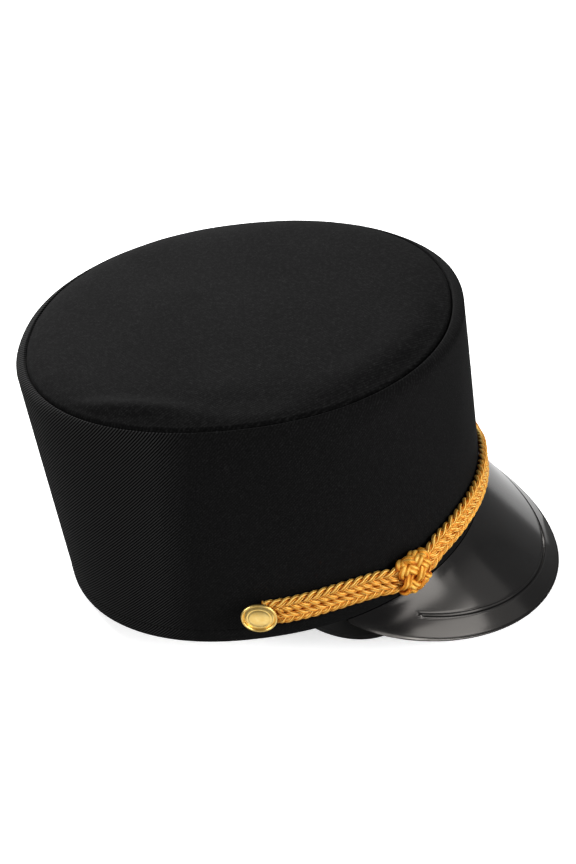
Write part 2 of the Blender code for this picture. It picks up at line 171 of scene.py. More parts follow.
# Buttons
BUTTON_DIAMETER = 0.0159
BUTTON_FORWARD = 0.0038
BUTTON_THICKNESS = 0.0012
BUTTON_EDGE = 0.0011
BUTTON_EDGE_RISE = 0.00065
BUTTON_ROUNDING = 0.0006
BUTTON_SUNK = 0.00055       # the middle starts this far below the face
BUTTON_DOME = 0.0012
BUTTON_RING_AT = 0.80       # a fine ring, as a share of the middle's radius
SHANK_DIAMETER = 0.0036
BRAID_UNDER_BUTTON = 0.0032

# Low ridges and grooves: height, place and width
SEAM_DIP = (-0.0010, 0.0, 0.00042)              # of the cloth, in from the top seam
HEM_PULL = (-0.00045, HEM_HEIGHT, 0.0006)       # where the stitches draw the cloth in
BACK_SEAM = (-0.0004, 0.0, 0.00035)
BACK_SEAM_SWELL = (0.00012, 0.0022, 0.0015)     # the cloth is thicker over the seam's allowances
GROOVE_LIP = (0.00008, 1.45 * GROOVE_HALF, 0.00035)
EDGE_LINE = (-0.00018, 0.0013, 0.00022)         # pressed just inside the peak's free edge
BAND_LINE = (0.00016, 0.0026, 0.0003)           # pressed along the sweatband's lower edge
BUTTON_RING = (0.00016, 0.0, 0.00022)
BUTTON_RING_DIP = (-0.00008, -0.0006, 0.0003)

# Slight unevenness: the seed, the size and the length of a wave
SIDE_WAVES = (3, 0.00012, 0.11)
SIDE_RIPPLES = (5, 0.00006, 0.035)
TOP_PUCKERS = (11, 0.00010, 0.030)
TOP_WAVES = (17, 0.00025, 0.09)
PEAK_WAVES = (21, 0.00010, 0.055)
PLAIT_PHASE = (31, 0.08, 0.02)
PLAIT_REACH = (41, 0.05, 0.015)

# The double braid's path round the front: degrees from the front, where right is negative, then the shares
# of CORD_HEIGHT and of BRAID_THICKNESS
BRAID_ROUTE = (
    (-96.0, 0.98, 1.00),
    (-80.0, 1.00, 1.00),
    (-68.0, 1.00, 1.00),
    (-60.0, 0.90, 1.00),
    (-55.0, 0.79, 1.00),
    (-50.0, 0.75, 1.00),
    (-45.0, 0.79, 1.00),
    (-39.0, 0.90, 1.00),
    (-33.0, 0.95, 1.00),
    (-26.0, 0.97, 1.00),
    (-18.0, 0.93, 1.00),
    (-9.0, 0.87, 1.00),
    (0.0, 0.78, 0.96),
    (5.0, 0.64, 0.88),
    (10.0, 0.48, 0.80),
    (18.0, 0.40, 0.75),
    (26.0, 0.42, 0.78),
    (34.0, 0.50, 0.88),
    (44.0, 0.63, 1.00),
    (50.0, 0.71, 1.00),
    (56.0, 0.80, 1.00),
    (63.0, 0.94, 1.00),
    (70.0, 1.00, 1.00),
    (80.0, 1.00, 1.00),
    (96.0, 0.98, 1.00),
)

# The top disc's swell: share of the way from its middle to its edge, share of TOP_PUFF above the seam
TOP_SWELL = ((0.0, 1.0), (0.60, 0.98), (0.76, 0.93), (0.84, 0.84), (0.90, 0.69), (0.945, 0.48),
             (0.975, 0.25), (0.991, 0.08), (1.0, -0.33))

# Shallow rises and sags of the disc beside its seam on the right: height, place in from the seam and width,
# then radians from the front and radians wide
TOP_SAGS = (
    ((0.0006, 0.0135, 0.0060), -0.62, 0.50),
    ((-0.0007, 0.0035, 0.0035), -0.62, 0.50),
    ((-0.0012, 0.0120, 0.0090), -1.48, 0.36),
)

# The plain ring inside a knot: place along it from -1 to 1, share by which it is smaller than the cords
KNOT_CORE = ((-1.0, 0.06), (-0.75, 0.03), (-0.4, 0.02), (0.0, 0.02), (0.4, 0.02), (0.75, 0.03),
             (1.0, 0.06), (0.6, 0.16), (0.0, 0.16), (-0.6, 0.16))
KNOT_CORE_SUNK = 0.0002

# Rows of points: shares or distances at which the surfaces are cut
SHOULDER_SHARES = (1.0, 0.985, 0.968, 0.948, 0.925, 0.895, 0.86, 0.82, 0.77, 0.71, 0.64, 0.57, 0.49, 0.41,
                   0.33, 0.25, 0.16, 0.07)
WALL_SHARES = np.linspace(1.0, 0.0, 63)[:-1]
WALL_SHARES_END = 0.012     # below this height the rows are closer, for the hem
HEM_ROWS = np.array([12.0, 11.2, 10.4, 9.7, 9.1, 8.6, 8.2, 7.9, 7.7, 7.5, 7.3, 7.1, 6.8, 6.4, 5.8, 5.0, 4.0,
                     3.0, 2.2, 1.6]) * 1e-3
INSIDE_SHARES = (0.03, 0.06, 0.12, 0.25, 0.5, 0.75, 1.0)
INSIDE_SHOULDER_SHARES = (0.22, 0.45, 0.67, 0.85, 1.0)
BACK_SEAM_SPOTS = (-0.0040, -0.0018, -0.0011, -0.0007, -0.0004, -0.0002,
                   0.0002, 0.0004, 0.0007, 0.0011, 0.0018)
TOP_SHARES = (1.0, 0.9985, 0.9965, 0.994, 0.991, 0.987, 0.982, 0.976, 0.969, 0.961, 0.951, 0.94,
              *np.linspace(0.928, 0.02, 51), 0.0006)
TOP_UNDER_SHARES = (1.0, 0.97, 0.9, 0.75, 0.5, 0.25, 0.02)
PEAK_ROWS = np.array([
    0.0, 0.08, 0.2, 0.35, 0.55, 0.75, 0.95, 1.1, 1.2, 1.3, 1.4, 1.5, 1.65, 1.9, 2.4, 3.2, 4.2, 5.4, 6.8, 8.2,
    9.4, 10.0, 10.3, 10.5, 10.65, 10.8, 10.95, 11.1, 11.4, 11.8, 12.2, 12.5, 12.65, 12.8, 12.95, 13.1, 13.3,
    13.6, 14.2, 15.0]) * 1e-3
BAND_SHARES = np.linspace(0.0, 1.0, 20)[:-1]
BAND_LINE_ROWS = (0.0014, 0.0020, 0.0023, 0.0026, 0.0029, 0.0034)
HALF_TURN = np.radians(np.linspace(0.0, 180.0, 9))
ANGLE_STEP = 1e-3           # radians, to find a direction along the wall
SHARP_ANGLE = math.radians(50.0)

# Camera, placed to match the photograph
CAMERA_AT = (0.01792, -0.47771, 0.46514)
CAMERA_LOOK = (-0.04083, 0.77, -0.63674)
CAMERA_UP = (-0.0464, 0.63512, 0.77102)
CAMERA_LENS = 55.4067

# Studio lamps: name, place, what it faces, size, watts
LAMPS = (
    ("behind", (-0.67, 1.07, 0.76), (0.0, 0.0, 0.0), (1.2, 1.0), 42.0),
    ("front_panel", (0.97, -0.56, 0.33), (0.1, -0.05, 0.05), (0.62, 0.38), 3.2),
    ("front_low", (0.98, -0.58, 0.07), (0.1, -0.05, 0.05), (0.65, 0.12), 0.17),
    ("front_glow", (1.10, -0.09, 0.23), (0.1, -0.05, 0.03), (0.36, 0.40), 0.20),
    ("front_fill", (1.07, -0.55, 0.78), (0.0, 0.0, 0.05), (0.5, 0.5), 9.5),
    ("left_panel", (-1.1, -0.5, 0.4), (0.0, 0.0, 0.05), (0.5, 0.6), 8.5),
)

# Glowing cards that lie on the floor: name, middle, degrees turned from +X, size, watts
FLOOR_CARDS = (
    ("near_card", (0.6023, -0.2979), -17.8, (0.90, 0.125), 1.88),
    ("dim_card", (1.09, -0.311), -14.0, (0.90, 0.11), 0.95),
    ("far_card", (0.158, 0.148), 68.0, (0.26, 0.064), 0.044),
    ("button_card", (-0.005, -0.145), 0.0, (0.08, 0.07), 0.017),
)
CARD_HEIGHT = 0.004
FLOOR_REACH = 3.0
ROOM_LIGHT = 0.20           # strength of the white room as the cap meets it
FLOOR_UNSEEN = 0.16         # reflectance of the floor as the cap meets it


# Numbers

def smooth_step(x):
    x = np.clip(x, 0.0, 1.0)
    return x * x * (3.0 - 2.0 * x)


def bell(x, width):
    return np.exp(-(x / width) ** 2)


def ridge(x, form):
    """A low ridge or groove across x. form gives its height, place and width."""
    height, place, width = form
    return height * bell(x - place, width)


def rounded(value, power):
    """A cosine or sine pushed out towards the corners of a rounded box."""
    return np.sign(value) * np.abs(value) ** (2.0 / power)


def zigzag(phase, sharpness=0.96):
    """Like a sine, but with straighter runs between its turns."""
    return np.arcsin(sharpness * np.sin(phase)) / math.asin(sharpness)


def drift(waves, places, more=0):
    """Smooth uneven values about zero, from five waves of unlike length; more is added to the seed."""
    seed, size, length = waves
    rng = np.random.default_rng(seed + more)
    count = 5
    total = 0.0
    for _ in range(count):
        each = length * rng.uniform(0.6, 1.8)
        total = total + rng.uniform(0.5, 1.0) * np.sin(2 * np.pi * (places / each + rng.uniform()))
    return size * total / math.sqrt(count)


def smooth_values(table, x, column=1):
    """Values of one column of a table at x, on a smooth curve through its rows."""
    xs = np.array([row[0] for row in table])
    ys = np.array([row[column] for row in table])
    rows, last = np.arange(len(table)), len(table) - 1
    before, after = np.maximum(rows - 1, 0), np.minimum(rows + 1, last)
    slopes = (ys[after] - ys[before]) / (xs[after] - xs[before])
    k = np.clip(np.searchsorted(xs, x) - 1, 0, last - 1)
    width = xs[k + 1] - xs[k]
    t = (x - xs[k]) / width
    level = ys[k] + (ys[k + 1] - ys[k]) * t * t * (3.0 - 2.0 * t)
    return level + width * t * (1.0 - t) * ((1.0 - t) * slopes[k] - t * slopes[k + 1])


def unit(vectors):
    return vectors / np.linalg.norm(vectors, axis=-1, keepdims=True)


def square_to(vectors, along):
    """Directions nearest to the vectors that are square to along."""
    return unit(vectors - (vectors * along).sum(axis=1, keepdims=True) * along)


def run_along(points):
    """Length along a row of points, up to each of them."""
    return np.concatenate([[0.0], np.cumsum(np.linalg.norm(np.diff(points, axis=0), axis=1))])


def turn_from(angles, middle=0.0):
    """How far the angles are from a middle one, the short way round."""
    return np.angle(np.exp(1j * (angles - middle)))


def circle(count):
    """Angles evenly spaced round a full turn."""
    return np.linspace(0.0, 2 * np.pi, count, endpoint=False)


def closed(grid, rows=False):
    """The grid with its first column repeated after its last, and its first row too where asked."""
    grid = np.concatenate([grid, grid[:, :1]], axis=1)
    return np.concatenate([grid, grid[:1]]) if rows else grid


# Outlines and walls of the cap

def plan_points(length, width, angles, inset=0.0):
    """Rounded outline seen from above, set in from its edge."""
    x = (0.5 * length - inset) * rounded(np.cos(angles), OUTLINE_POWER)
    y = (0.5 * width - inset) * rounded(np.sin(angles), OUTLINE_POWER)
    return x, y


def shoulder_height(x):
    share = (x - TOP_FORWARD) / TOP_LENGTH + 0.5
    return REAR_HEIGHT + (FRONT_HEIGHT - REAR_HEIGHT) * share


def shoulder_points(angles, inset=0.0, rise=0.0, scale=1.0):
    x, y = plan_points(TOP_LENGTH, TOP_WIDTH, angles, inset)
    x, y = np.broadcast_arrays(TOP_FORWARD + scale * x, scale * y)
    return np.stack([x, y, shoulder_height(x) + rise], axis=-1)


def shoulder_sizes(angles):
    """Inset and rise of the seam, and how far below the shoulder the wall begins to lean in."""
    side = np.sin(angles) ** 2
    inset = SHOULDER_INSET + (SIDE_INSET - SHOULDER_INSET) * side
    rise = SHOULDER_RISE + (SIDE_RISE - SHOULDER_RISE) * side
    return inset, rise, SIDE_LEAN * side ** 2


def wall_points(angles, heights, inset=0.0):
    """Points of the side wall, which runs straight from the rim to the shoulder."""
    x, y = plan_points(RIM_LENGTH, RIM_WIDTH, angles, inset)
    top = shoulder_points(angles, inset)
    share = np.maximum(heights, 0.0) / top[..., 2]
    heights = np.broadcast_to(heights, np.shape(share))
    return np.stack([x + (top[..., 0] - x) * share, y + (top[..., 1] - y) * share, heights], axis=-1)


def wall_along(angles, heights):
    return unit(wall_points(angles + ANGLE_STEP, heights) - wall_points(angles - ANGLE_STEP, heights))


def wall_outward(angles, heights):
    """Level direction out of the wall."""
    along = wall_along(angles, heights)
    return unit(np.stack([along[..., 1], -along[..., 0], 0.0 * along[..., 0]], axis=-1))


def shoulder_curve(angles, share, thickness=0.0):
    """A row of points on the rounded shoulder: share is 0 on the wall and 1 at the seam."""
    inset, rise, lean = shoulder_sizes(angles)
    turn = share * SHOULDER_END
    reach = thickness + (inset - thickness) * (1.0 - math.cos(turn)) / (1.0 - math.cos(SHOULDER_END))
    over = (rise + lean - thickness) * math.sin(turn) / math.sin(SHOULDER_END) - lean
    if not thickness:
        over = over + ridge(inset - reach, SEAM_DIP)
    below = wall_points(angles, shoulder_points(angles, reach)[..., 2] + np.minimum(over, 0.0), reach)
    above = shoulder_points(angles, reach, over)
    return np.where((over > 0.0)[..., None], above, below)


def even_angles(count, extra=()):
    """Angles evenly spaced along the rim from the middle of the back, with a few more close to it."""
    fine = np.linspace(np.pi, -np.pi, 7201)
    lengths = run_along(wall_points(fine, 0.0))
    total = lengths[-1]
    spots = np.linspace(0.0, total, count, endpoint=False)
    spots = np.unique(np.round(np.concatenate([spots, np.array(extra) % total]), 7))
    return np.interp(spots, lengths, fine), spots, total


def to_scene(points):
    """From the cap's own frame to where the cap lies, with nothing below the floor."""
    x, y, z = points[..., 0], points[..., 1], points[..., 2]
    sine, cosine = math.sin(TILT), math.cos(TILT)
    points = np.stack([x * cosine - z * sine, y, x * sine + z * cosine], axis=-1) + np.array(STAND)
    points[:, 2] = np.maximum(points[:, 2], 0.0)
    return points


# Meshes

class Patch:
    """A grid of points with its surface coordinates in metres, closed along rows or columns if asked.

    caps closes its first and last row. The last argument, where given, says how far each point stands out of
    the creases between strands, about 0 to 1, from which the gold paints shade low down and a highlight on
    top.
    """

    def __init__(self, points, u, v, wrap_rows=False, wrap_columns=False, caps=False, proud_for_painted_light=None):
        self.points = points
        self.u, self.v, self.proud_for_painted_light = u, v, proud_for_painted_light
        self.wrap_rows, self.wrap_columns, self.caps = wrap_rows, wrap_columns, caps

    def faces(self):
        rows, columns = self.points.shape[:2]
        r = np.arange(rows if self.wrap_rows else rows - 1)
        c = np.arange(columns if self.wrap_columns else columns - 1)
        r, c = (grid.ravel() for grid in np.meshgrid(r, c, indexing="ij"))
        corner_rows = np.stack([r, r, r + 1, r + 1], axis=1)
        corner_columns = np.stack([c, c + 1, c + 1, c], axis=1)
        vertex = (corner_rows % rows) * columns + corner_columns % columns
        size = (rows + self.wrap_rows, columns + self.wrap_columns)
        uv = [np.broadcast_to(grid, size)[corner_rows, corner_columns] for grid in (self.u, self.v)]
        return vertex, np.stack(uv, axis=-1)


def add_object(name, data):
    thing = bpy.data.objects.new(name, data)
    bpy.context.scene.collection.objects.link(thing)
    return thing


def edit_mesh(mesh, change=None):
    """Make a change to a mesh, if there is one, and turn its faces outward."""
    builder = bmesh.new()
    builder.from_mesh(mesh)
    builder.verts.ensure_lookup_table()
    if change:
        change(builder)
    bmesh.ops.recalc_face_normals(builder, faces=builder.faces)
    builder.to_mesh(mesh)
    builder.free()


def mesh_piece(name, patches, material, replaced=()):
    """One visible piece from its patches, riding on the cap."""
    vertices, faces, uvs, ends, first = [], [], [], [], 0
    for patch in patches:
        face, uv = patch.faces()
        faces.append(face + first)
        uvs.append(uv.reshape(-1, 2))
        vertices.append(patch.points.reshape(-1, 3))
        rows, columns = patch.points.shape[:2]
        if patch.caps:
            ends += [list(range(start, start + columns)) for start in (first, first + (rows - 1) * columns)]
        first += rows * columns
    uvs.append(np.zeros((sum(map(len, ends)), 2)))
    mesh = bpy.data.meshes.new(name)
    mesh.from_pydata(to_scene(np.concatenate(vertices)).tolist(), [], np.concatenate(faces).tolist() + ends)
    mesh.uv_layers.new(name="surface").data.foreach_set("uv", np.concatenate(uvs).ravel())
    edit_mesh(mesh)
    mesh.shade_smooth()
    mesh.set_sharp_from_angle(angle=SHARP_ANGLE)
    # how far each point stands out, kept on the mesh for the gold's painted shade and highlight
    if patches[0].proud_for_painted_light is not None:
        proud_for_painted_light = np.concatenate([patch.proud_for_painted_light.ravel() for patch in patches])
        mesh.attributes.new("proud_for_painted_light", "FLOAT", "POINT").data.foreach_set("value", proud_for_painted_light)
    mesh.materials.append(material)
    piece = add_object(name, mesh)
    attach(piece, BODY)
    if replaced:
        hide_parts(*replaced)
    return piece


def shell_piece(name, section, spots, total, material, replaced):
    """A piece from rows of points right round the cap, each with its place along the closed section."""
    points = np.stack([row for row, _ in section])
    v = np.stack([np.broadcast_to(along, spots.shape) for _, along in section])
    u = np.append(spots, total)[None, :]
    patch = Patch(points, u, closed(v, rows=True), wrap_rows=True, wrap_columns=True)
    return mesh_piece(name, [patch], material, replaced)


# Crown

def side_relief(spots, total, heights, tops):
    """How far the twill stands off its plain shape: slight waves, hem stitching and the seam behind."""
    behind = np.minimum(spots, total - spots)
    from_top = tops - heights
    free = smooth_step(heights / CALM_EDGE) * smooth_step(from_top / CALM_EDGE)
    waves = (drift(SIDE_WAVES, spots) + drift(SIDE_RIPPLES, spots + 0.35 * heights)) * free
    stitch = 0.5 + 0.5 * np.cos(2 * np.pi * spots / STITCH_SPACING)
    pull = ridge(heights, HEM_PULL) * (0.55 + 0.45 * stitch)
    hem_swell = HEM_SWELL * smooth_step((HEM_HEIGHT - heights) / 0.002)
    seam = (ridge(behind, BACK_SEAM) + ridge(behind, BACK_SEAM_SWELL)) * smooth_step(from_top / 0.002)
    return waves + pull + hem_swell + seam


def crown_side(material):
    angles, spots, total = even_angles(720, BACK_SEAM_SPOTS)
    tops = shoulder_points(angles)[..., 2]
    straight = tops - shoulder_sizes(angles)[2]
    outer = [shoulder_curve(angles, share) for share in SHOULDER_SHARES]
    inner = [shoulder_curve(angles, share, WALL) for share in INSIDE_SHOULDER_SHARES]
    section = [(row, row[:, 2]) for row in outer]
    levels = [WALL_SHARES_END + (straight - WALL_SHARES_END) * share for share in WALL_SHARES]
    for heights in levels + list(HEM_ROWS):
        relief = side_relief(spots, total, heights, tops)
        row = wall_points(angles, heights) + relief[:, None] * wall_outward(angles, heights)
        section.append((row, heights))
    # round the fold of the hem and up the inner face
    fold = 0.5 * WALL
    for t in HALF_TURN:
        row = wall_points(angles, fold * (1.0 - math.sin(t)), fold * (1.0 - math.cos(t)))
        section.append((row, fold * (1.0 - t)))
    section += [(wall_points(angles, straight * share, WALL), -straight * share) for share in INSIDE_SHARES]
    section += [(row, -row[:, 2]) for row in inner]
    return shell_piece("side_cloth", section, spots, total, material, ["crown_side"])


def hem_stitches(material):
    """Short stitches, each a rounded thread that dives into the cloth at both ends."""
    fine, spots, total = even_angles(3600)
    count = round(total / STITCH_SPACING)
    angles = np.interp((np.arange(count) + 0.5) * total / count, spots, fine)
    outward = wall_outward(angles, HEM_HEIGHT)
    centres = wall_points(angles, HEM_HEIGHT) - STITCH_SUNK * outward
    shares = np.linspace(-1.0, 1.0, 7)
    turns = circle(8)
    size = STITCH_RADIUS * np.sqrt(np.maximum(1.0 - 0.75 * shares ** 8, 0.05))
    sunk = STITCH_RADIUS * 2.2 * shares ** 4
    u, v = (shares * STITCH_LENGTH)[:, None], (np.append(turns, 2 * np.pi) * STITCH_RADIUS)[None, :]
    threads = []
    for centre, along, out in zip(centres, wall_along(angles, HEM_HEIGHT), outward):
        spine = centre + 0.5 * STITCH_LENGTH * shares[:, None] * along - sunk[:, None] * out
        ring = np.cos(turns)[:, None] * out + np.sin(turns)[:, None] * np.cross(out, along)
        points = spine[:, None] + size[:, None, None] * ring
        threads.append(Patch(points, u, v, caps=True, wrap_columns=True))
    return mesh_piece("hem_stitches", threads, material)


def top_row(angles, share, thickness=0.0):
    """A row of points round the plain disc, this far below its face; share is 1 at the seam."""
    inset, rise, _ = shoulder_sizes(angles)
    turned_down = min(share, TOP_EDGE_UNDER) if thickness else share
    swell = TOP_PUFF * smooth_values(TOP_SWELL, turned_down) + (rise - SHOULDER_RISE) * share ** 4
    return shoulder_points(angles, inset + GAP, SHOULDER_RISE + swell - thickness, share)


def top_relief(angles, spots, points, share):
    """Low forms of the disc's cloth: puckers by the seam, broad waves, the fold and what lies beside it."""
    inward = (1.0 - share) * 0.5 * TOP_WIDTH
    relief = drift(TOP_PUCKERS, spots) * bell(inward - 0.006, 0.005)
    relief = relief + drift(TOP_WAVES, points[:, 0] + 0.4 * points[:, 1]) * smooth_step(inward / 0.01)
    from_fold = points[:, :2] - np.array(FOLD_MIDDLE)
    along = from_fold @ np.array([math.cos(FOLD_TURN), math.sin(FOLD_TURN)])
    across = from_fold @ np.array([-math.sin(FOLD_TURN), math.cos(FOLD_TURN)])
    fold = FOLD_HEIGHT * bell(across, FOLD_HALF_WIDTH) * bell(along, FOLD_HALF_LENGTH)
    relief = relief + fold * smooth_step(inward / FOLD_CLEAR)
    for form, turn, spread in TOP_SAGS:
        relief = relief + ridge(inward, form) * bell(turn_from(angles, turn), spread)
    return relief


def crown_top(material):
    angles, spots, _ = even_angles(480)
    inset, rise, _ = shoulder_sizes(angles)
    # the seam allowance runs on below the side's rolled edge
    upper = [shoulder_points(angles, inset + GAP - out, rise - WALL - down) for out, down in SEAM_ALLOWANCE]
    lower = [upper[0]] + [top_row(angles, share, TOP_WALL) for share in TOP_UNDER_SHARES]
    for share in TOP_SHARES:
        row = top_row(angles, share)
        row[:, 2] += top_relief(angles, spots, row, share)
        upper.append(row)
    sine, cosine = math.sin(TOP_CLOTH_TURN), math.cos(TOP_CLOTH_TURN)
    patches = []
    for grid in (np.stack(upper), np.stack(lower)):
        x, y = np.moveaxis(closed(grid)[..., :2], -1, 0)
        patches.append(Patch(grid, x * cosine - y * sine, x * sine + y * cosine, wrap_columns=True))
    piece = mesh_piece("top_cloth", patches, material, ["crown_top"])
    close_middles(piece, (len(upper) - 1, len(upper) + len(lower) - 1), len(angles))
    return piece


def close_middles(piece, last_rows, columns):
    """Close the small hole in the middle of each side of the disc, and join the two sides at their edge."""
    def change(builder):
        middles = []
        for row in last_rows:
            middles.append(builder.faces.new([builder.verts[row * columns + k] for k in range(columns)]))
            middles[-1].smooth = True
        bmesh.ops.poke(builder, faces=middles)
        bmesh.ops.remove_doubles(builder, verts=builder.verts, dist=1e-6)

    edit_mesh(piece.data, change)


# Peak

def peak_free_edge(turns):
    corner_x, half_width = plan_points(RIM_LENGTH, RIM_WIDTH, PEAK_HALF_ANGLE)
    front_x = 0.5 * RIM_LENGTH + PEAK_REACH
    side = np.sin(turns)
    forward = (1.0 - np.abs(side) ** PEAK_EDGE_POWER) ** (1.0 / PEAK_EDGE_POWER)
    x = corner_x + (front_x - corner_x) * forward
    return np.stack([x, half_width * side, -GAP - PEAK_DROP * forward ** PEAK_DROP_POWER], axis=-1)


def rim_angles_at(y):
    share = np.minimum(np.abs(y) / (0.5 * RIM_WIDTH), 1.0)
    return np.sign(y) * np.arcsin(share ** (0.5 * OUTLINE_POWER))


def peak_surface(turns, shares):
    """Face of the peak and its outward direction; shares run from the rim to the free edge."""
    edges = peak_free_edge(turns)
    roots = wall_points(rim_angles_at(edges[:, 1]), -0.2 * GAP)
    shares = np.broadcast_to(shares, (len(turns), np.shape(shares)[-1]))
    flat = roots[:, None] * (1.0 - shares[..., None]) + edges[:, None] * shares[..., None]
    across = np.gradient(edges, axis=0)[:, None] * shares[..., None]
    across = across + np.gradient(roots, axis=0)[:, None] * (1.0 - shares[..., None])
    outward = unit(np.cross((edges - roots)[:, None], across))
    reach = np.linalg.norm(edges - roots, axis=1)
    hollow = PEAK_HOLLOW * (reach / reach.max()) ** 0.5 * smooth_step(reach / HOLLOW_FULL)
    bow = hollow[:, None] * 4.0 * shares * (1.0 - shares)
    return flat - bow[..., None] * outward, outward


def peak_grid(turns):
    """The peak's rows of points, as shares of the way out and as distances in from its free edge."""
    probe = np.linspace(0.0, 1.0, 240)
    surface, _ = peak_surface(turns, probe)
    edge = surface[:, -1]
    rest = np.linspace(0.0, 1.0, 34)[1:]
    shares, inward = [], []
    for ruling in surface:
        near = np.linalg.norm(ruling[:, None] - edge[None], axis=2).min(axis=1)
        near = np.maximum.accumulate(near[::-1])
        scale = min(1.0, 0.9 * near[-1] / PEAK_ROWS[-1])
        share = 1.0 - np.interp(PEAK_ROWS * scale, near, 1.0 - probe[::-1])
        share = np.concatenate([share, share[-1] * (1.0 - rest)])
        shares.append(share)
        inward.append(np.interp(1.0 - share, 1.0 - probe[::-1], near))
    return np.array(shares), np.array(inward), edge


def groove_distance(turns, face, inward):
    """Distance from the middle line of the pressed groove, which has rounded ends."""
    distance = np.abs(inward - GROOVE_IN)
    for side in (-1, 1):
        station = np.abs(turns - side * GROOVE_END).argmin()
        tip = face[station, np.abs(inward[station] - GROOVE_IN).argmin()]
        past = side * turns > GROOVE_END
        distance[past] = np.linalg.norm(face[past] - tip, axis=2)
    return distance


def peak_relief(turns, face, inward, shares):
    """How far the peak's upper and under sides stand off its plain face."""
    from_groove = groove_distance(turns, face, inward)
    wide = smooth_step((inward.max(axis=1) - RELIEF_FROM) / RELIEF_OVER)[:, None]
    flank = smooth_step((from_groove - 0.45 * GROOVE_HALF) / (0.7 * GROOVE_HALF))
    groove = -GROOVE_DEPTH * (1.0 - flank) * wide
    lines = (ridge(from_groove, GROOVE_LIP) + ridge(inward, EDGE_LINE)) * wide
    off_edge = 1.0 - np.clip(inward / EDGE_ROUNDING, 0.0, 1.0)
    rounding = EDGE_ROUNDING * (1.0 - np.sqrt(1.0 - off_edge ** 2))
    calm = smooth_step(inward / 0.004) * smooth_step(shares / 0.12)
    waves = drift(PEAK_WAVES, face[..., 1] + 0.6 * face[..., 0]) * calm
    upper = groove + lines - rounding * (0.15 + 0.85 * wide) + waves
    return upper, rounding + 0.5 * groove - PEAK_THICKNESS


def peak(material):
    turns = np.linspace(-PEAK_SWEEP, PEAK_SWEEP, PEAK_STATIONS)
    middle = len(turns) // 2
    shares, inward, edge = peak_grid(turns)
    face, outward = peak_surface(turns, shares)
    reliefs = peak_relief(turns, face, inward, shares)
    upper, under = (face + relief[..., None] * outward for relief in reliefs)
    # underneath, a third of the rows is enough, and they stay below the rim
    below = -GAP - PEAK_THICKNESS
    under = under[:, ::3][:, :-1].copy()
    under[..., 2] = np.minimum(under[..., 2], below)
    angles = rim_angles_at(peak_free_edge(turns)[:, 1])
    flange = WALL + GAP
    section = np.stack([
        wall_points(angles, FLANGE_HEIGHT, flange),
        wall_points(angles, -GAP, flange),
        *upper[:, ::-1].swapaxes(0, 1),
        *under.swapaxes(0, 1),
        wall_points(angles, below, PEAK_THICKNESS),
        wall_points(angles, below, flange + FLANGE_THICKNESS),
        wall_points(angles, FLANGE_HEIGHT, flange + FLANGE_THICKNESS),
    ])
    u = run_along(edge)
    v = np.append(run_along(section[:, middle]), 0.0)
    patch = Patch(section, (u - u[middle])[None, :], v[:, None], wrap_rows=True)
    piece = mesh_piece("peak_vinyl", [patch], material, ["peak"])
    close_ends(piece, len(section), len(turns))
    return piece


def close_ends(piece, rows, columns):
    """Close the two thin ends of a strip."""
    def change(builder):
        for column in (0, columns - 1):
            builder.faces.new([builder.verts[row * columns + column] for row in range(rows)])

    edit_mesh(piece.data, change)


# Sweatband

def band_lower_edge(angles):
    share = np.clip((HANG_START - np.abs(turn_from(angles))) / (HANG_START - HANG_FULL), 0.0, 1.0)
    return BAND_TUCK - (BAND_TUCK + BAND_HANG) * np.sin(0.5 * np.pi * share) ** HANG_POWER


def sweatband(material):
    angles, spots, total = even_angles(720)
    outer = WALL + GAP + FLANGE_THICKNESS + GAP
    inner, half = outer + BAND_THICKNESS, 0.5 * BAND_THICKNESS
    low = band_lower_edge(angles)
    start, stop = low + BAND_FACE_UP, BAND_TOP - BAND_FACE_DOWN
    faces = [start + (stop - start) * share for share in BAND_SHARES]
    rounding = [(half * (1.0 - math.sin(t)), half * math.cos(t)) for t in HALF_TURN]
    # outer face, rounded lower edge, inner face and rounded upper edge
    levels = [(heights, outer) for heights in faces[::-1]]
    levels += [(low + up, outer + ridge(up, BAND_LINE)) for up in BAND_LINE_ROWS[::-1]]
    levels += [(low + up, outer + half - across) for up, across in rounding]
    levels += [(low + up, inner - ridge(up, BAND_LINE)) for up in BAND_LINE_ROWS]
    levels += [(heights, inner) for heights in faces]
    levels += [(BAND_TOP - down, outer + half + across) for down, across in rounding]
    section = [(wall_points(angles, heights, inset), heights) for heights, inset in levels]
    return shell_piece("band_leather", section, spots, total, material, ["sweatband"])


# Braids and knots

